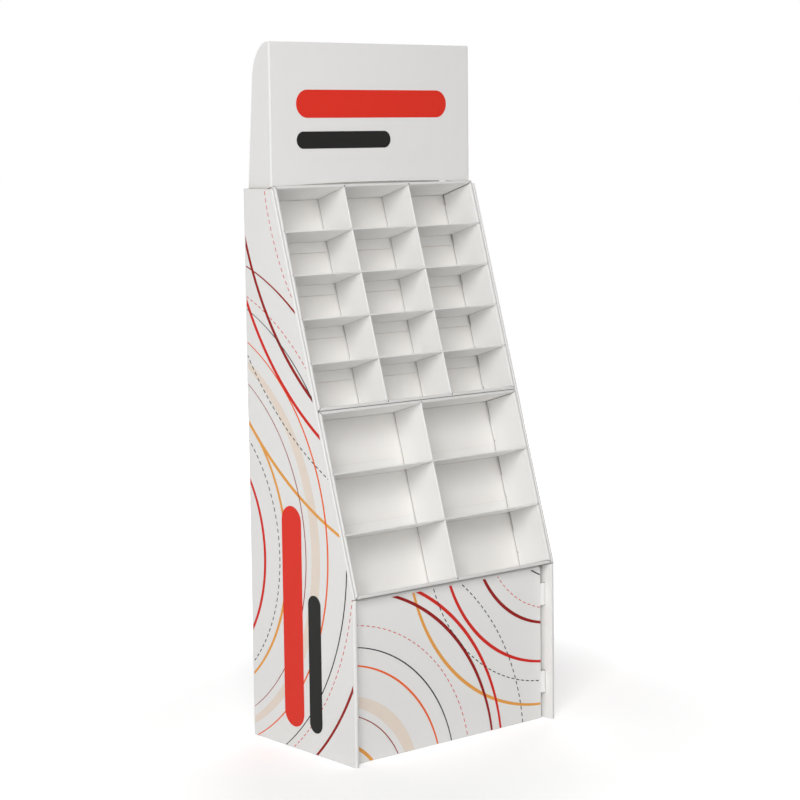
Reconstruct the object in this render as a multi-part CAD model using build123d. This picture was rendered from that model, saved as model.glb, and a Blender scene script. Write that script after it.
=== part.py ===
from build123d import *
import math
import os

# Free-standing display of folded corrugated board: a shell with a sloping front, two compartment
# trays in the slope, a recessed base panel and a header. Millimetres, +Z up, front towards -Y,
# origin on the floor under the middle of the outline.

# Overall sizes
width = 600.0
depth = 372.0
knee_height = 372.0
body_height = 1246.5
top_depth = 106.0
header_height = 320.5

# Board and folds (fold radii are at the middle of the board)
board = 3.0
thin_board = 1.5
fold_radius = 3.0
thin_crease = 0.9
turnover_share = 0.49
slip = 0.3
overrun = 40.0
quarter_turn = 90

# Shell
side_gap = 1.2
base_flap_depth = 112.0
base_flap_gap = 5.5
rest_width = 32.0
rest_end_margin = 45.0
knee_slit = 1.5
tongue_height = 25.0
tongue_margin = 14.0

# Base panel
panel_recess = 24.0
panel_side_gap = 13.0
return_depth = 42.0
deck_relief = 6.0
deck_side_gap = 1.5
tab_height = 52.0
lower_tab_height = 87.0
upper_tab_drop = 76.0
tab_lean = 15
slot_room = 0.8

# Trays
tray_side_wall = 9.0
tray_end_wall = 7.5
tray_top_rise = 7.6
lower_tray_height = 414.0
tray_gap = 0.9
wall_foot_gap = 1.6
lock_height = 50.0
lock_drop = 5.0
lock_hole = 3.5
lock_slit = 3.0
corner_slit = 1.5
miter_share = 2.0

# Shelves and dividers
upper_rows = 5
upper_columns = 3
lower_rows = 3
lower_columns = 2
thin_gap = 0.4
edge_setback = 1.0
divider_setback = 1.6
divider_back_gap = 2.2
flange_height = 27.0
flange_end_gap = 5.0
lap_room = 0.3
lap_share = 0.5
end_tab_depth = 17.0

# Header
header_setback = 11.0
header_back_gap = 8.0
header_bow = 6.0
wing_shoulder_depth = 64.0
wing_curve_height = 91.0

# Places shared by the pieces
half = board / 2
front_y = -depth / 2
back_y = depth / 2
slope_run = depth - top_depth
slope_rise = body_height - knee_height
slope_length = math.hypot(slope_run, slope_rise)
slope_sin = slope_run / slope_length
slope_cos = slope_rise / slope_length
slope_plane = Plane(
    origin=(0, front_y, knee_height), x_dir=(1, 0, 0), z_dir=(0, -slope_cos, slope_sin)
)
side_wall = 2 * board + side_gap
base_wall = 2 * board + base_flap_gap
bay_half = width / 2 - side_wall
base_bay_half = width / 2 - base_wall
back_face = back_y - board

tray_half = bay_half - slip
tray_stack = slope_length + tray_top_rise
upper_tray_start = lower_tray_height + tray_gap
upper_tray_height = tray_stack - upper_tray_start
tray_reach = (back_face - slip - front_y - tray_stack * slope_sin) / slope_cos
tray_depth = tray_reach - board
strip_thickness = 2 * thin_board + thin_gap
header_y = front_y + slope_run + header_setback


def slope_point(along, inward):
    """Y and Z of a point given along the slope from the knee and inward from it."""
    y = front_y + along * slope_sin + inward * slope_cos
    z = knee_height + along * slope_cos - inward * slope_sin
    return y, z


def block(low, high):
    """A box between two corners."""
    middle = [(a + b) / 2 for a, b in zip(low, high)]
    size = [b - a for a, b in zip(low, high)]
    return Pos(*middle) * Box(*size)


def sheet(points, radii, thickness):
    """The section of a folded sheet whose middle line runs through the points."""
    return trace(FilletPolyline(*points, radius=radii), line_width=thickness)


def both_sides(piece):
    """The piece and its mirror image across the middle of the stand."""
    return piece + mirror(piece, about=Plane.YZ)


def side_outline():
    """The side panel seen from the side, up to where its front edges begin to turn over."""
    base_turn = base_wall / 2
    slope_turn = side_wall / 2
    knee = slope_point((base_turn - slope_turn * slope_cos) / slope_sin, slope_turn)
    top = slope_point((slope_rise + slope_turn * slope_sin) / slope_cos, slope_turn)
    outline = Polyline(
        (front_y + base_turn, 0), (back_y, 0), (back_y, body_height), top, knee, close=True
    )
    return extrude(Plane.YZ * make_face(outline), amount=width, both=True)


def turned_edge(plane, length, gap, reach, rest):
    """A front edge of the left side turned over into an inner flap, with or without a rest."""
    outer = -width / 2 + half
    inner = outer + board + gap
    turn = turnover_share * (inner - outer)
    points = [(outer, 2 * board + gap), (outer, half), (inner, half), (inner, reach)]
    radii = [turn, turn]
    if rest:
        points.append((inner + rest_width, reach))
        radii.append(fold_radius)
    section = plane * sheet(points, radii, board)
    return extrude(section, amount=length, dir=plane.z_dir)


def make_shell():
    """Back and sides in one sheet, with a tongue behind the header and turned-over front edges."""
    side_x = width / 2 - half
    wrap_y = back_y - half
    wrap = sheet(
        [(-side_x, front_y), (-side_x, wrap_y), (side_x, wrap_y), (side_x, front_y)],
        [fold_radius, fold_radius],
        board,
    )
    body = extrude(wrap, amount=body_height) & side_outline()
    tongue_half = bay_half - tongue_margin
    body += block(
        (-tongue_half, back_face, body_height - overrun),
        (tongue_half, back_y, body_height + tongue_height),
    )

    upright = Plane(origin=(0, front_y, 0), x_dir=(1, 0, 0), z_dir=(0, 0, 1))
    base_flap = turned_edge(upright, knee_height, base_flap_gap, base_flap_depth, False)
    above_slit = block(
        (-width, -knee_slit, -2 * base_flap_depth), (width, slope_length, overrun)
    )
    base_flap -= slope_plane.location * above_slit
    slot_low = tab_line(base_bay_half + board) - tab_width() / 2 - slot_room
    slot_high = tab_line(base_bay_half) + tab_width() / 2 + slot_room
    for tab_z in tab_heights():
        base_flap -= block(
            (-base_bay_half - board - side_gap, slot_low, tab_z - tab_height / 2 - slot_room),
            (-base_bay_half + side_gap, slot_high, tab_z + tab_height / 2 + slot_room),
        )

    rise = Plane(
        origin=slope_plane.origin, x_dir=(1, 0, 0), z_dir=(0, slope_sin, slope_cos)
    )
    rest_reach = tray_reach + slip + half
    slope_flap = turned_edge(rise, slope_length + overrun, side_gap, tray_reach, False)
    slope_flap += turned_edge(rise, slope_length - rest_end_margin, side_gap, rest_reach, True)
    slope_flap -= block((-width, -depth, body_height), (width, depth, body_height + 2 * overrun))
    slope_flap -= block((-width, back_face - slip, 0), (width, depth, body_height))
    return body + both_sides(base_flap) + both_sides(slope_flap)


def tab_heights():
    """Middle heights of the base panel's tabs."""
    return lower_tab_height, knee_height - upper_tab_drop


def tab_line(x):
    """Y of the middle of a tab, which leans forward from the panel's edge into its slot."""
    root_x = bay_half - panel_side_gap - half
    return front_y + panel_recess + half - (x - root_x) * math.tan(math.radians(tab_lean))


def tab_width():
    """The board of a tab, measured front to back."""
    return board / math.cos(math.radians(tab_lean))


def make_base_panel():
    """Front panel with returns and tabs, a deck under the lower tray and a rear leg."""
    panel_half = bay_half - panel_side_gap
    panel_y = front_y + panel_recess
    edge_x = panel_half - half
    deck_along = -slip - half
    fold_inward = (panel_recess + half - deck_along * slope_sin) / slope_cos
    fold = slope_point(deck_along, fold_inward)
    heel = slope_point(deck_along, tray_reach)
    panel_top = fold[1] - deck_relief

    section = sheet(
        [
            (-edge_x, panel_y + return_depth),
            (-edge_x, panel_y + half),
            (edge_x, panel_y + half),
            (edge_x, panel_y + return_depth),
        ],
        [fold_radius, fold_radius],
        board,
    )
    panel = extrude(section, amount=panel_top)
    above_deck = block(
        (-width, -slip - board, -2 * base_flap_depth), (width, slope_length, overrun)
    )
    panel -= slope_plane.location * above_deck

    deck_half = panel_half - board - deck_side_gap
    stand = Plane.YZ * sheet(
        [(fold[0], panel_top / 2), fold, heel, (heel[0], 0)], [fold_radius, fold_radius], board
    )
    panel += extrude(stand, amount=deck_half, both=True)

    tab_tip = base_bay_half + board + base_flap_gap / 2
    tab_length = tab_tip - panel_half
    tab_section = sheet(
        [
            (edge_x - 2 * fold_radius, panel_y + half),
            (edge_x, panel_y + half),
            (tab_tip, tab_line(tab_tip)),
        ],
        [fold_radius],
        board,
    )
    for tab_z in tab_heights():
        low_z = tab_z - tab_height / 2
        window = block(
            (panel_half - board - slip, panel_y + board, low_z),
            (panel_half + slip, panel_y + board + tab_length, low_z + tab_height),
        )
        panel -= both_sides(window)
        panel += both_sides(Pos(0, 0, low_z) * extrude(tab_section, amount=tab_height))
    return panel


def rolled_wall(length, wall):
    """A tray wall turned over at the lip: outside at x = 0, lip at z = 0, running along +Y."""
    back_z = -tray_reach + half
    lip_turn = turnover_share * (wall - board)
    points = [
        (2 * wall, back_z),
        (half, back_z),
        (half, -half),
        (wall - half, -half),
        (wall - half, -tray_depth + wall_foot_gap),
    ]
    section = Plane.XZ * sheet(points, [fold_radius, lip_turn, lip_turn], board)
    return extrude(section, amount=length, dir=(0, 1, 0))


def miter(points):
    """The share of the tray's frame that one wall takes up."""
    face = make_face(Polyline(*points, close=True))
    return extrude(face, amount=tray_reach + overrun, both=True)


def spread(count, pitch):
    """Middle places of things set side by side about zero."""
    return [(i - (count - 1) / 2) * pitch for i in range(count)]


def row_pitch(height, rows):
    """Height of a tray's row together with one shelf."""
    return (height - 2 * tray_end_wall + strip_thickness) / rows


def row_places(height, rows):
    """Middle places of the shelves above the tray's bottom edge."""
    return [height / 2 + place for place in spread(rows - 1, row_pitch(height, rows))]


def column_places(columns):
    """Middle places of the dividers."""
    pitch = (2 * tray_half - 2 * tray_side_wall + strip_thickness) / columns
    return spread(columns - 1, pitch)


def make_tray(height, rows, columns):
    """A tray with a back and four rolled walls, its lips notched for shelves and dividers."""
    side_in = miter_share * tray_side_wall
    end_in = miter_share * tray_end_wall
    side_share = miter(
        [
            (-tray_half, corner_slit),
            (-tray_half + side_in, end_in + corner_slit),
            (-tray_half + side_in, height - end_in - corner_slit),
            (-tray_half, height - corner_slit),
        ]
    )
    end_share = miter(
        [
            (-tray_half + corner_slit, 0),
            (tray_half - corner_slit, 0),
            (tray_half - side_in - corner_slit, end_in),
            (-tray_half + side_in + corner_slit, end_in),
        ]
    )
    side = Pos(-tray_half, 0, 0) * rolled_wall(height, tray_side_wall)
    side &= side_share
    bottom = Pos(tray_half, 0, 0) * Rot(0, 0, quarter_turn) * rolled_wall(2 * tray_half, tray_end_wall)
    bottom &= end_share
    top = mirror(bottom, about=Plane.XZ.offset(-height / 2))
    back = block(
        (-tray_half + tray_side_wall, tray_end_wall, -tray_reach),
        (tray_half - tray_side_wall, height - tray_end_wall, -tray_depth),
    )
    tray = back + both_sides(side) + bottom + top

    lock_x = -tray_half + tray_side_wall - board - slip
    foot_z = -tray_depth + wall_foot_gap
    for middle in spread(rows, row_pitch(height, rows)):
        row_top = height / 2 + middle + (row_pitch(height, rows) - strip_thickness) / 2
        lock_low = height / 2 + middle - lock_drop - lock_height / 2
        slit = block(
            (lock_x, lock_low + lock_height, foot_z - wall_foot_gap / 2),
            (lock_x + board + 2 * slip, row_top, foot_z + lock_slit),
        )
        hole = block(
            (lock_x, lock_low - lock_hole, foot_z - wall_foot_gap / 2),
            (lock_x + board + 2 * slip, lock_low, foot_z + lock_hole),
        )
        tray -= both_sides(slit) + both_sides(hole)

    notch = strip_thickness / 2 + lap_room
    notch_z = -edge_setback - end_tab_depth - lap_room
    for place in row_places(height, rows):
        cut = block(
            (-tray_half + board, place - notch, notch_z),
            (-tray_half + tray_side_wall + slip, place + notch, overrun),
        )
        tray -= both_sides(cut)
    for place in column_places(columns):
        tray -= block(
            (place - notch, board, notch_z), (place + notch, tray_end_wall + slip, overrun)
        )
        tray -= block(
            (place - notch, height - tray_end_wall - slip, notch_z),
            (place + notch, height - board, overrun),
        )
    return tray


def lap_depth():
    """How far behind the lip a shelf's slot and a divider's slot meet."""
    return edge_setback + lap_share * (tray_depth - edge_setback)


def folded_strip(front, rear):
    """The section of a strip folded double at its front edge, with the gap between its layers."""
    outer = strip_thickness / 2
    flat = outer - thin_crease
    outline = Polyline(
        (-outer, rear),
        (-outer, front - thin_crease),
        (-flat, front),
        (flat, front),
        (outer, front - thin_crease),
        (outer, rear),
        close=True,
    )
    gap_depth = front - thin_board - rear
    gap = Pos(0, rear + gap_depth / 2) * Rectangle(thin_gap, gap_depth)
    return make_face(outline) - gap


def make_shelf(place, columns, flange_sign):
    """A strip folded double at its front edge, with a back flange and slots for the dividers."""
    rear = -tray_depth + slip
    flange_root = strip_thickness / 2 - thin_board
    flange_middle = flange_sign * (flange_root + flange_height) / 2
    flange = Pos(flange_middle, rear + thin_board / 2) * Rectangle(
        flange_height - flange_root, thin_board
    )
    section = Plane.YZ * (folded_strip(-edge_setback, rear) + flange)
    inner_half = tray_half - tray_side_wall - slip
    shelf = extrude(section, amount=inner_half, both=True)

    slot = strip_thickness / 2 + lap_room
    flange_cut = slot + flange_end_gap
    for column in column_places(columns):
        shelf -= block(
            (column - slot, -overrun, -tray_depth), (column + slot, overrun, -lap_depth())
        )
        shelf -= block(
            (column - flange_cut, -overrun, -tray_depth),
            (column + flange_cut, overrun, rear + thin_board + thin_crease),
        )
    end_cut = inner_half - flange_end_gap
    shelf -= both_sides(
        block(
            (end_cut, -overrun, -tray_depth),
            (inner_half + overrun, overrun, rear + thin_board + thin_crease),
        )
    )
    ear = block(
        (inner_half - overrun, -strip_thickness, -edge_setback - end_tab_depth),
        (tray_half - board - slip, strip_thickness, 0),
    )
    ears = extrude(section, amount=tray_half, both=True) & both_sides(ear)
    return Pos(0, place, 0) * (shelf + ears)


def make_divider(column, height, rows):
    """An upright strip folded double at its front edge, slotted from the front for the shelves."""
    section = Plane.XZ * folded_strip(-divider_setback, -tray_depth + divider_back_gap)
    strip = extrude(section, amount=height, dir=(0, 1, 0))
    low = tray_end_wall + slip
    high = height - tray_end_wall - slip
    tab_z = -edge_setback - end_tab_depth
    keep = block((-overrun, low, -tray_reach), (overrun, high, 0))
    keep += block(
        (-overrun, board + slip, tab_z), (overrun, height - board - slip, 0)
    )
    strip &= keep
    slot = strip_thickness / 2 + lap_room
    for place in row_places(height, rows):
        strip -= block(
            (-overrun, place - slot, -lap_depth() - lap_room), (overrun, place + slot, overrun)
        )
    return Pos(column, 0, 0) * strip


def seat_point(y):
    """A point of the header's foot, which follows the top of the upper tray."""
    seat = tray_stack + slip
    return slope_point(seat, (y - front_y - seat * slope_sin) / slope_cos)


def make_header():
    """Front panel and two wings, cut below to stand on the upper tray; the panel's foot bows up."""
    edge_x = bay_half - slip - half
    top_z = body_height + header_height
    wing_y = back_face - header_back_gap
    crown_y = header_y + board
    section = sheet(
        [
            (-edge_x, back_face),
            (-edge_x, header_y + half),
            (edge_x, header_y + half),
            (edge_x, back_face),
        ],
        [fold_radius, fold_radius],
        board,
    )
    header = extrude(section, amount=top_z + overrun)
    curve = EllipticalCenterArc(
        (crown_y, top_z - wing_curve_height),
        wing_shoulder_depth - board,
        wing_curve_height,
        arc_size=quarter_turn,
    )
    toe = slope_point(tray_stack + slip, 0)
    heel = seat_point(wing_y)
    edges = curve + Polyline(
        curve @ 1, (toe[0], top_z), toe, heel, (wing_y, body_height), curve @ 0
    )
    outline = extrude(Plane.YZ * make_face(edges), amount=width, both=True)

    bow_half = edge_x - 2 * fold_radius
    foot_z = seat_point(header_y)[1]
    bow = ThreePointArc((-bow_half, foot_z), (0, foot_z + header_bow), (bow_half, foot_z))
    under = bow + Polyline(
        bow @ 1, (bow_half, foot_z - overrun), (-bow_half, foot_z - overrun), bow @ 0
    )
    return header & outline - extrude(Plane.XZ * make_face(under), amount=depth, both=True)


def in_slope(along, piece):
    """Sets a tray or strip made lying at the origin into the sloping front."""
    return slope_plane.location * Pos(0, along, 0) * piece


pieces = {"shell": make_shell(), "base_panel": make_base_panel(), "header": make_header()}
trays = [
    ("lower", 0, lower_tray_height, lower_rows, lower_columns, 1),
    ("upper", upper_tray_start, upper_tray_height, upper_rows, upper_columns, -1),
]
for name, along, height, rows, columns, flange_sign in trays:
    pieces[name + "_tray"] = in_slope(along, make_tray(height, rows, columns))
    for number, place in enumerate(reversed(row_places(height, rows)), 1):
        shelf = make_shelf(place, columns, flange_sign)
        pieces[name + "_shelf_" + str(number)] = in_slope(along, shelf)
    sides = ["_divider"] if columns == 2 else ["_divider_left", "_divider_right"]
    for side, column in zip(sides, column_places(columns)):
        divider = make_divider(column, height, rows)
        pieces[name + side] = in_slope(along, divider)

os.makedirs("parts", exist_ok=True)
for name, piece in pieces.items():
    piece.label = name
    export_step(piece, "parts/" + name + ".step")
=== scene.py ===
"""Looks of a free-standing display of white corrugated board: board and print materials, printed
panels, floor, studio light and camera. Metres, +Z up, front towards -Y, as in the loaded frame."""

import math
from collections import Counter, defaultdict, namedtuple

import bmesh
import bpy
from mathutils import Matrix, Vector


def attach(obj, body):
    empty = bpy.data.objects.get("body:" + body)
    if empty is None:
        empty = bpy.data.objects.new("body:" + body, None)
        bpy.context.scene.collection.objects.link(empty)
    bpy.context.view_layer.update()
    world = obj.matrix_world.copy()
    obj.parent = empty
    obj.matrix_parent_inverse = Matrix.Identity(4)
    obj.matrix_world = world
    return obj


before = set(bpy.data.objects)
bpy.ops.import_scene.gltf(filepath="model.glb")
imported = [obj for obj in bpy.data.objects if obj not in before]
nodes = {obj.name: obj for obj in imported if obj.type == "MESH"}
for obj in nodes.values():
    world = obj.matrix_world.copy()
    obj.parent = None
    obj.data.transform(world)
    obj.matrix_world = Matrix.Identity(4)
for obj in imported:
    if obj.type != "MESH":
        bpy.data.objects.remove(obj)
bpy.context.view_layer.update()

# Units, directions and tolerances
mm = 0.001
left = Vector((-1, 0, 0))
right = Vector((1, 0, 0))
forward = Vector((0, -1, 0))
upward = Vector((0, 0, 1))
weld = 0.005 * mm
on_plane = 0.02 * mm
outline_digits = 6
same_way_cosine = 0.999
large_face_share = 0.4

# Camera, fitted to the outline in the photograph
camera_place = (-3.1229, -3.6999, 1.3572)
camera_azimuth = math.radians(40.103)
camera_pitch = math.radians(7.006)
camera_roll = math.radians(-0.682)
camera_lens_mm = 96.41
camera_sensor_mm = 36.0

# Studio light: lamp places and sizes in metres, power in watts
Lamp = namedtuple("Lamp", "name place size power")
light_target = (0.0, 0.0, 0.7)
lamps = [
    Lamp("key", (-6.4, -6.0, 6.0), 4.8, 595.0),
    Lamp("side", (-3.0, -0.6, 1.0), 2.0, 10.5),
    Lamp("front", (-1.8, -3.4, 1.2), 2.4, 20.0),
    Lamp("rear", (3.6, 3.4, 2.6), 3.0, 115.0),
]
world_strength = 0.15
backdrop_strength = 1.0

# Floor: it glows more with distance from the stand, so the shadow shows near the stand only
floor_size = 120.0
floor_albedo = 0.8
floor_seen_albedo = 0.95
near_floor = 0.5
far_floor = 1.7
near_glow = 0.33
far_glow = 0.86

# Paper grain, with spots counted to the metre, and flutes
Grain = namedtuple("Grain", "spots detail")
grains = {
    "cloud": Grain(4.0, 2.0),
    "patch": Grain(45.0, 3.0),
    "fibre": Grain(900.0, 4.0),
}
grain_roughness = 0.6
flute_pitches = {"flute": 6.5 * mm, "thin_flute": 3.2 * mm}
bump_depth = 0.12 * mm
bump_strength = 0.6

# Gloss and shade of the surfaces
specular_level = 0.2
gloss_spread = 0.06
board_roughness = 0.6
back_roughness = 0.75
edge_roughness = 0.8
ink_roughness = 0.5
board_shade = 0.94
ink_shade = 0.86
# Creases are darker: painted shade that tones down the light the round folds catch, and in part the
# duller crushed coating of a crease
crease_painted_shade = 0.92
# Painted shade in the flute hollows of cut edges
hollow_painted_shade = 0.45
thin_hollow_painted_shade = 0.7

# Creases and cut edges, told apart by the width of a run of faces and the turn that ends it
crease_width = 2.6 * mm
cut_edge_width = 3.7 * mm
flat_turn = math.radians(1)
round_fold = math.radians(32)
sharp_fold = math.radians(50)

# Painted shade in tight nooks, where board meets board: an occlusion test darkens the colour there
nook_reach = 5 * mm
nook_samples = 6
nook_openness = 0.75
nook_painted_shade = 0.56
crease_nook_painted_shade = 0.88

# Print
print_margin = 1.5 * mm
ink_lift = 0.01 * mm
ink_step = 0.08 * mm
stroke_step = 0.004 * mm
arc_step = 9 * mm
dash_length = 9 * mm
dash_gap = 7 * mm
ring_end_share = 0.25
dash_end_share = 1.0
gap_sway_share = 0.3
gap_sway_turn = 2.4
bar_end_steps = 24

# Sockets of a node that mixes colours
mix_first = 6
mix_second = 7
mix_result = 2


# Colours

def srgb(red, green, blue):
    """A colour given as the usual 0 to 255 numbers, for a shader socket."""
    shares = [value / 255 for value in (red, green, blue)]
    linear = [s / 12.92 if s <= 0.04045 else ((s + 0.055) / 1.055) ** 2.4 for s in shares]
    return (*linear, 1.0)


def grey(level):
    """A neutral colour for a shader socket."""
    return (level, level, level, 1.0)


def shaded(colour, factor):
    """The same colour, made darker by a factor."""
    return (*[channel * factor for channel in colour[:3]], 1.0)


white_coat = srgb(246, 245, 243)
white_liner = srgb(247, 246, 244)
liner_stain = srgb(241, 238, 234)
brown_core = srgb(172, 138, 102)
pale_core = srgb(196, 170, 140)

# Inks from the lowest layer to the highest
ink_colours = {
    "peach": srgb(248, 234, 220),
    "amber": srgb(246, 172, 80),
    "orange": srgb(252, 112, 54),
    "maroon": srgb(158, 20, 16),
    "red": srgb(224, 40, 30),
    "black": srgb(16, 15, 14),
    "mark_red": srgb(240, 54, 38),
    "mark_black": srgb(16, 15, 14),
}

# Styles of line, which take turns from ring to ring
Style = namedtuple("Style", "ink width dashed")
styles = [
    Style("red", 8.0 * mm, False),
    Style("black", 2.0 * mm, True),
    Style("amber", 8.0 * mm, False),
    Style("maroon", 2.4 * mm, False),
    Style("peach", 30.0 * mm, False),
    Style("orange", 5.0 * mm, False),
    Style("black", 3.0 * mm, False),
    Style("red", 1.6 * mm, True),
    Style("maroon", 8.0 * mm, False),
]

# Ripples of rings: middle, first radius, gap, number, turn in degrees, drift of the middle, first style
Ripple = namedtuple("Ripple", "across up first gap rings turn drift shift")
side_ripples = [
    Ripple(-0.44, 0.42, 0.31, 0.041, 9, (-75, 75), 0.006, 0),
    Ripple(0.50, 1.36, 0.50, 0.058, 7, (150, 290), -0.008, 5),
]
front_ripples = [
    Ripple(-0.36, -0.10, 0.16, 0.046, 9, (-15, 100), 0.006, 2),
    Ripple(0.34, 0.50, 0.17, 0.055, 6, (160, 290), -0.006, 6),
]

# Plain bars, placed by their middles
Bar = namedtuple("Bar", "ink across up length height upright")
side_bars = [
    Bar("mark_red", -0.030, 0.300, 0.50, 0.070, True),
    Bar("mark_black", 0.048, 0.205, 0.31, 0.044, True),
]
header_bars = [
    Bar("mark_red", 0.0, 1.432, 0.44, 0.062, False),
    Bar("mark_black", -0.085, 1.352, 0.27, 0.038, False),
]


# Node trees

def empty_tree(owner):
    """The cleared node tree of a material or world."""
    owner.use_nodes = True
    owner.node_tree.nodes.clear()
    return owner.node_tree


def add_node(tree, kind, inputs=None, **settings):
    """A new node with its settings; each input is linked to a socket or set to a plain value."""
    made = tree.nodes.new("ShaderNode" + kind)
    for name, value in settings.items():
        setattr(made, name, value)
    for name, value in (inputs or {}).items():
        if isinstance(value, bpy.types.NodeSocket):
            tree.links.new(value, made.inputs[name])
        else:
            made.inputs[name].default_value = value
    return made


def math_node(tree, operation, first, second=0.0):
    """The result of one sum of two sockets or numbers."""
    return add_node(tree, "Math", {0: first, 1: second}, operation=operation).outputs[0]


def mixed(tree, factor, first, second, blend="MIX"):
    """A mix of two colours, each a socket or a plain value."""
    inputs = {"Factor": factor, mix_first: first, mix_second: second}
    return add_node(tree, "Mix", inputs, data_type="RGBA", blend_type=blend).outputs[mix_result]


def flute_wave(tree, place, pitch):
    """A wave from 0 to 1 across upright flutes, running along X or, on the sides, along Y."""
    spot = add_node(tree, "SeparateXYZ", {"Vector": place})
    normal = add_node(tree, "SeparateXYZ", {"Vector": add_node(tree, "NewGeometry").outputs["Normal"]})
    sideways = math_node(tree, "ABSOLUTE", normal.outputs["X"])
    frontal = math_node(tree, "SUBTRACT", 1.0, sideways)
    along_x = math_node(tree, "MULTIPLY", spot.outputs["X"], frontal)
    along_y = math_node(tree, "MULTIPLY", spot.outputs["Y"], sideways)
    across = math_node(tree, "ADD", along_x, along_y)
    wave = math_node(tree, "SINE", math_node(tree, "MULTIPLY", across, 2 * math.pi / pitch))
    return math_node(tree, "ADD", math_node(tree, "MULTIPLY", wave, 0.5), 0.5)


def pattern(tree, place, part):
    """One grain of the paper, or the wave of its flutes, from 0 to 1."""
    if part in flute_pitches:
        return flute_wave(tree, place, flute_pitches[part])
    grain = grains[part]
    inputs = {
        "Vector": place,
        "Scale": grain.spots,
        "Detail": grain.detail,
        "Roughness": grain_roughness,
    }
    return add_node(tree, "TexNoise", inputs).outputs["Fac"]


def weighted(tree, patterns, weights):
    """The sum of some patterns, each times its weight."""
    total = 0.0
    for part, weight in weights.items():
        scaled = math_node(tree, "MULTIPLY", patterns[part], weight)
        total = math_node(tree, "ADD", scaled, total)
    return total


def painted_nook_shade(tree, level):
    """Painted shade: the level given, deep in a tight nook, rising to 1 on open board."""
    nook = add_node(tree, "AmbientOcclusion", {"Distance": nook_reach}, samples=nook_samples)
    inputs = {
        "Value": nook.outputs["AO"],
        "From Max": nook_openness,
        "To Min": level,
        "To Max": 1.0,
    }
    return add_node(tree, "MapRange", inputs).outputs["Result"]


# Materials

def surface(name, light, dark, parts, roughness, bump_parts, painted_shade_level=nook_painted_shade):
    """A material between two close colours, mixed by the weighted parts, with its own bump; painted
    shade darkens it in tight nooks."""
    made = bpy.data.materials.new(name)
    tree = empty_tree(made)
    place = add_node(tree, "TexCoord").outputs["Object"]
    used = dict.fromkeys(["patch", *parts, *bump_parts])
    patterns = {part: pattern(tree, place, part) for part in used}
    colour = mixed(tree, weighted(tree, patterns, parts), dark, light)
    # Painted shade: the colour is multiplied down where board lies close by
    colour = mixed(tree, 1.0, colour, painted_nook_shade(tree, painted_shade_level), "MULTIPLY")
    gloss = add_node(
        tree,
        "MapRange",
        {
            "Value": patterns["patch"],
            "To Min": roughness - gloss_spread,
            "To Max": roughness + gloss_spread,
        },
    )
    bump = add_node(
        tree,
        "Bump",
        {
            "Height": weighted(tree, patterns, bump_parts),
            "Distance": bump_depth,
            "Strength": bump_strength,
        },
    )
    shader = add_node(
        tree,
        "BsdfPrincipled",
        {
            "Base Color": colour,
            "Roughness": gloss.outputs["Result"],
            "Normal": bump.outputs["Normal"],
            "Specular IOR Level": specular_level,
        },
    )
    add_node(tree, "OutputMaterial", {"Surface": shader.outputs["BSDF"]})
    return made


def board_material(name, colour, flute, painted_shade_level=nook_painted_shade):
    """White coated board: soft clouds, paper fibre, and the faint washboard of its flutes, as a bump and
    as a little painted shade in the hollows.
    """
    # The flute share of the colour is painted shade, darker in the hollows of the washboard
    parts = {"cloud": 0.35, "patch": 0.3, "fibre": 0.25, flute: 0.1}
    bump_parts = {"fibre": 0.35, flute: 0.5, "patch": 0.6}
    dark = shaded(colour, board_shade)
    return surface(name, colour, dark, parts, board_roughness, bump_parts, painted_shade_level)


def reverse_material(name, colour, stain):
    """The duller back of the board: uncoated liner with soft warm stains."""
    parts = {"cloud": 0.45, "patch": 0.35, "fibre": 0.2}
    bump_parts = {"fibre": 0.5, "flute": 0.5, "patch": 0.6}
    return surface(name, colour, stain, parts, back_roughness, bump_parts)


def cut_edge_material(name, colour, hollow, flute):
    """A cut through the board: brown liners, with painted shade in the hollows of the flutes."""
    parts = {flute: 0.7, "fibre": 0.3}
    bump_parts = {"fibre": 1.0, flute: 1.0}
    return surface(name, colour, shaded(colour, hollow), parts, edge_roughness, bump_parts)


def ink_material(name, colour):
    """Print on the board: slightly uneven ink over the same fibre and flutes."""
    parts = {"cloud": 0.3, "patch": 0.4, "fibre": 0.3}
    bump_parts = {"fibre": 0.35, "flute": 0.5}
    return surface(name, colour, shaded(colour, ink_shade), parts, ink_roughness, bump_parts)


# Board nodes

def face_sides(mesh):
    """The sides of each face, as pairs of corner places in steps of the weld."""
    places = [tuple(round(c / weld) for c in vertex.co) for vertex in mesh.vertices]
    sides = []
    for polygon in mesh.polygons:
        corners = [places[i] for i in polygon.vertices]
        pairs = [frozenset(pair) for pair in zip(corners, corners[1:] + corners[:1])]
        sides.append([pair for pair in pairs if len(pair) == 2])
    return sides


def face_runs(mesh, sides, fold):
    """Runs of faces; a run goes on round a fold that turns by less than the angle given."""
    normals = [polygon.normal.copy() for polygon in mesh.polygons]
    beside = defaultdict(list)
    for face, pairs in enumerate(sides):
        for side in pairs:
            beside[side].append(face)
    runs, seen = [], set()
    for first in range(len(sides)):
        if first in seen:
            continue
        seen.add(first)
        run, queue = [], [first]
        while queue:
            face = queue.pop()
            run.append(face)
            for other in (near for side in sides[face] for near in beside[side]):
                if other not in seen and normals[face].angle(normals[other], 0.0) < fold:
                    seen.add(other)
                    queue.append(other)
        runs.append(run)
    return runs


def narrow_faces(mesh, fold, width):
    """Faces of the runs that are narrower than the width given, by their area and their rim."""
    sides = face_sides(mesh)
    found = []
    for run in face_runs(mesh, sides, fold):
        shared = Counter(side for face in run for side in sides[face])
        rim = sum(weld * math.dist(*side) for side, faces in shared.items() if faces == 1)
        area = sum(mesh.polygons[face].area for face in run)
        if rim and 2 * area / rim < width:
            found += run
    return found


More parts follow.
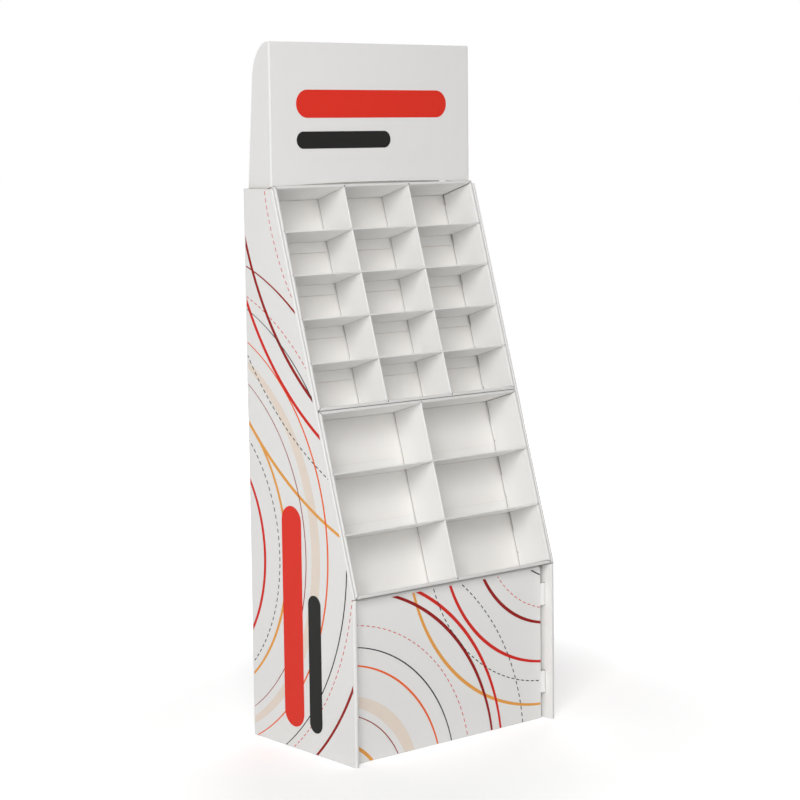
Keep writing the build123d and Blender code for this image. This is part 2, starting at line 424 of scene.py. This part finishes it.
def deck_faces(mesh):
    """Faces of a tray's back, seen from its mouth."""
    deck = max((p for p in mesh.polygons if p.normal.y < 0 < p.normal.z), key=lambda p: p.area)
    level = deck.center.dot(deck.normal)
    facing = [p for p in mesh.polygons if p.normal.dot(deck.normal) > same_way_cosine]
    return [p.index for p in facing if abs(p.center.dot(deck.normal) - level) < on_plane]


def inner_faces(mesh):
    """Faces of an upright folded panel that look to its inside."""
    back = max(vertex.co.y for vertex in mesh.vertices)
    upright = [p for p in mesh.polygons if abs(p.normal.z) < same_way_cosine]
    return [p.index for p in upright if p.normal.dot(Vector((0, back, p.center.z)) - p.center) > 0]


def dress(node, board, cut_edge, fold, crease=None, reverse=None, reverse_faces=None):
    """Gives a CAD node its board, its creases, the back of the board where that shows, and its
    cut edges."""
    mesh = nodes[node].data
    layers = [
        (board, []),
        (crease, narrow_faces(mesh, flat_turn, crease_width) if crease else []),
        (reverse, reverse_faces(mesh) if reverse else []),
        (cut_edge, narrow_faces(mesh, fold, cut_edge_width)),
    ]
    mesh.materials.clear()
    indices = [0] * len(mesh.polygons)
    for slot, (material, faces) in enumerate(layers):
        mesh.materials.append(material or board)
        for face in faces:
            indices[face] = slot
    mesh.polygons.foreach_set("material_index", indices)


# Print

Panel = namedtuple("Panel", "name across out level outline")


def add_object(name, data):
    """A new object in the scene."""
    made = bpy.data.objects.new(name, data)
    bpy.context.scene.collection.objects.link(made)
    return made


def hull(points):
    """Corners of the convex outline round some points, counter-clockwise."""
    ordered = sorted(set(points))

    def chain(run):
        corners = []
        for u, v in run:
            while len(corners) > 1:
                (a, b), (c, d) = corners[-2:]
                if (c - a) * (v - b) - (d - b) * (u - a) > weld * weld:
                    break
                corners.pop()
            corners.append((u, v))
        return corners[:-1]

    return chain(ordered) + chain(reversed(ordered))


def flat_panel(name, node, across, out):
    """The outer upright face of a node that looks in one direction."""
    mesh = nodes[node].data
    facing = [p for p in mesh.polygons if p.normal.dot(out) > same_way_cosine]
    least = large_face_share * max(p.area for p in facing)
    level = max(p.center.dot(out) for p in facing if p.area > least)
    points = [v.co for v in mesh.vertices if abs(level - v.co.dot(out)) < on_plane]
    spots = [(p.dot(across), p.dot(upward)) for p in points]
    outline = hull([(round(u, outline_digits), round(v, outline_digits)) for u, v in spots])
    return Panel(name, across, out, level, outline)


def circle_vertex(sketch, middle, radius, angle, height):
    """A new vertex on a circle."""
    u, v = middle
    return sketch.verts.new((u + radius * math.cos(angle), v + radius * math.sin(angle), height))


def add_stroke(sketch, middle, radius, width, start, end, end_share, height):
    """A band along part of a circle, widest in the middle of its run."""
    steps = max(1, math.ceil(radius * abs(end - start) / arc_step))
    rows = []
    for i in range(steps + 1):
        share = i / steps
        angle = start + (end - start) * share
        half = width / 2 * (end_share + (1 - end_share) * math.sin(math.pi * share))
        radii = (radius - half, radius + half)
        rows.append([circle_vertex(sketch, middle, r, angle, height) for r in radii])
    for (a, b), (c, d) in zip(rows, rows[1:]):
        sketch.faces.new((a, b, d, c))


def add_ring(sketch, ripple, number, style, height):
    """One ring of a ripple, whole or dashed."""
    uneven = number + gap_sway_share * math.sin(gap_sway_turn * number)
    radius = ripple.first + ripple.gap * uneven
    middle = (ripple.across + ripple.drift * number, ripple.up + ripple.drift * number)
    start, end = (math.radians(angle) for angle in ripple.turn)
    if not style.dashed:
        add_stroke(sketch, middle, radius, style.width, start, end, ring_end_share, height)
        return
    dash, gap = dash_length / radius, dash_gap / radius
    for i in range(int((end - start) / (dash + gap))):
        begin = start + i * (dash + gap)
        add_stroke(sketch, middle, radius, style.width, begin, begin + dash, dash_end_share, height)


def add_bar(sketch, bar, height):
    """A plain bar with round ends, lying or upright."""
    radius = bar.height / 2
    reach = bar.length / 2 - radius
    corners = []
    for side, turn in ((1, -math.pi / 2), (-1, math.pi / 2)):
        for i in range(bar_end_steps + 1):
            angle = turn + math.pi * i / bar_end_steps
            u, v = side * reach + radius * math.cos(angle), radius * math.sin(angle)
            corners.append((bar.across - v, bar.up + u) if bar.upright else (bar.across + u, bar.up + v))
    sketch.faces.new([sketch.verts.new((u, v, height)) for u, v in corners])


def trim(sketch, outline):
    """Cuts a flat sketch to the inside of a panel's outline."""
    for (a, b), (c, d) in zip(outline, outline[1:] + outline[:1]):
        out = Vector((d - b, a - c, 0)).normalized()
        bmesh.ops.bisect_plane(
            sketch,
            geom=sketch.verts[:] + sketch.edges[:] + sketch.faces[:],
            plane_co=Vector((a, b, 0)) - out * print_margin,
            plane_no=out,
            clear_outer=True,
        )


def ink_height(ink, strokes):
    """How far a stroke stands off the board, so that no two strokes share a face."""
    return (list(ink_colours).index(ink) + 1) * ink_step + strokes * stroke_step


def ink_piece(panel, ink, sketch):
    """Turns a flat sketch into a thin layer of ink on its panel."""
    trim(sketch, panel.outline)
    if not sketch.faces:
        return
    lowered = bmesh.ops.extrude_face_region(sketch, geom=sketch.faces[:])["geom"]
    for item in lowered:
        if isinstance(item, bmesh.types.BMVert):
            item.co.z = 0
    for vertex in sketch.verts:
        u, v, height = vertex.co
        vertex.co = panel.across * u + upward * v + panel.out * (panel.level + ink_lift + height)
    bmesh.ops.recalc_face_normals(sketch, faces=sketch.faces[:])
    mesh = bpy.data.meshes.new(panel.name + "_" + ink)
    sketch.to_mesh(mesh)
    mesh.materials.append(inks[ink])
    piece = add_object(mesh.name, mesh)
    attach(piece, "root")


def print_panel(panel, ripples, bars):
    """Prints ripples of rings and plain bars on a panel, one piece for each ink."""
    sketches = defaultdict(bmesh.new)
    strokes = 0
    for ripple in ripples:
        for number in range(ripple.rings):
            style = styles[(number + ripple.shift) % len(styles)]
            strokes += 1
            add_ring(sketches[style.ink], ripple, number, style, ink_height(style.ink, strokes))
    for bar in bars:
        add_bar(sketches[bar.ink], bar, ink_height(bar.ink, 0))
    for ink, sketch in sketches.items():
        ink_piece(panel, ink, sketch)
        sketch.free()


# Stage

def background_rays(tree):
    """1 for the rays that see the plain backdrop, 0 for those that carry light."""
    path = add_node(tree, "LightPath").outputs
    seen = math_node(tree, "MAXIMUM", path["Is Camera Ray"], path["Is Glossy Ray"])
    return math_node(tree, "MAXIMUM", seen, path["Is Transmission Ray"])


def seen_or_lit(tree, seen, lit):
    """One shader for the rays that see the backdrop, another for those that carry light."""
    inputs = {0: background_rays(tree), 1: lit.outputs[0], 2: seen.outputs[0]}
    return add_node(tree, "MixShader", inputs).outputs[0]


def floor_material():
    """Pale paint with a glow that rises with distance from the stand."""
    made = bpy.data.materials.new("floor")
    tree = empty_tree(made)
    place = add_node(tree, "TexCoord").outputs["Object"]
    distance = add_node(tree, "VectorMath", {0: place}, operation="LENGTH").outputs["Value"]
    fade = add_node(
        tree,
        "MapRange",
        {
            "Value": distance,
            "From Min": near_floor,
            "From Max": far_floor,
            "To Min": near_glow,
            "To Max": far_glow,
        },
        interpolation_type="SMOOTHSTEP",
    )
    glow = add_node(tree, "Emission", {"Strength": fade.outputs["Result"]})
    paint = add_node(tree, "BsdfDiffuse", {"Color": grey(floor_seen_albedo)})
    seen = add_node(tree, "AddShader", {0: paint.outputs[0], 1: glow.outputs[0]})
    lit = add_node(tree, "BsdfDiffuse", {"Color": grey(floor_albedo)})
    add_node(tree, "OutputMaterial", {"Surface": seen_or_lit(tree, seen, lit)})
    return made


def make_floor():
    """A pale floor that looks white and keeps the stand's soft shadow."""
    half = floor_size / 2
    mesh = bpy.data.meshes.new("floor")
    corners = [(-half, -half, 0), (half, -half, 0), (half, half, 0), (-half, half, 0)]
    mesh.from_pydata(corners, [], [(0, 1, 2, 3)])
    mesh.materials.append(floor_material())
    floor = add_object("floor", mesh)


def make_world():
    """Even light from all round, seen as a white backdrop."""
    world = bpy.data.worlds.new("studio")
    bpy.context.scene.world = world
    tree = empty_tree(world)
    lit = add_node(tree, "Background", {"Color": grey(1.0), "Strength": world_strength})
    seen = add_node(tree, "Background", {"Color": grey(1.0), "Strength": backdrop_strength})
    add_node(tree, "OutputWorld", {"Surface": seen_or_lit(tree, seen, lit)})


def make_lamp(lamp):
    """A large soft lamp turned towards the stand."""
    light = bpy.data.lights.new(lamp.name, "AREA")
    light.shape = "SQUARE"
    light.size = lamp.size
    light.energy = lamp.power
    made = add_object(lamp.name, light)
    made.location = lamp.place
    aim = Vector(light_target) - Vector(lamp.place)
    made.rotation_euler = aim.to_track_quat("-Z", "Y").to_euler()
    made.visible_camera = False


def make_camera():
    """The photograph's viewpoint."""
    flat = math.cos(camera_pitch)
    ahead = Vector(
        (math.sin(camera_azimuth) * flat, math.cos(camera_azimuth) * flat, -math.sin(camera_pitch))
    )
    level = Vector((math.cos(camera_azimuth), -math.sin(camera_azimuth), 0))
    upright = level.cross(ahead)
    picture_right = math.cos(camera_roll) * level + math.sin(camera_roll) * upright
    picture_up = math.cos(camera_roll) * upright - math.sin(camera_roll) * level
    turn = Matrix((picture_right, picture_up, -ahead)).transposed()
    camera = bpy.data.cameras.new("camera")
    camera.lens = camera_lens_mm
    camera.sensor_width = camera_sensor_mm
    made = add_object("camera", camera)
    made.matrix_world = Matrix.Translation(camera_place) @ turn.to_4x4()
    bpy.context.scene.camera = made


# Materials on the board
printed_board = board_material("printed_board", white_coat, "flute")
tray_board = board_material("tray_board", white_coat, "flute")
strip_board = board_material("strip_board", white_coat, "thin_flute")
# Creases: darker board, painted shade over the light the folds catch, and in part their crushed coating
folded_board = board_material("crease", shaded(white_coat, crease_painted_shade), "flute", crease_nook_painted_shade)
board_back = reverse_material("board_back", white_liner, liner_stain)
# Cut edges: brown core, with painted shade in the flute hollows
brown_edge = cut_edge_material("brown_edge", brown_core, hollow_painted_shade, "flute")
thin_edge = cut_edge_material("thin_edge", pale_core, thin_hollow_painted_shade, "thin_flute")
inks = {ink: ink_material("ink_" + ink, colour) for ink, colour in ink_colours.items()}

for node in nodes:
    if node == "header":
        dress(node, printed_board, brown_edge, round_fold, folded_board, board_back, inner_faces)
    elif node in ("shell", "base_panel"):
        dress(node, printed_board, brown_edge, round_fold, folded_board)
    elif node.endswith("_tray"):
        dress(node, tray_board, brown_edge, round_fold, folded_board, board_back, deck_faces)
    else:
        dress(node, strip_board, thin_edge, sharp_fold)

# Printed panels
print_panel(flat_panel("left_side", "shell", forward, left), side_ripples, side_bars)
print_panel(flat_panel("right_side", "shell", forward, right), side_ripples, side_bars)
print_panel(flat_panel("base_front", "base_panel", right, forward), front_ripples, [])
print_panel(flat_panel("header_front", "header", right, forward), [], header_bars)

# Stage, light and camera
make_floor()
make_world()
for lamp in lamps:
    make_lamp(lamp)
make_camera()
bpy.context.scene.view_settings.view_transform = "Standard"
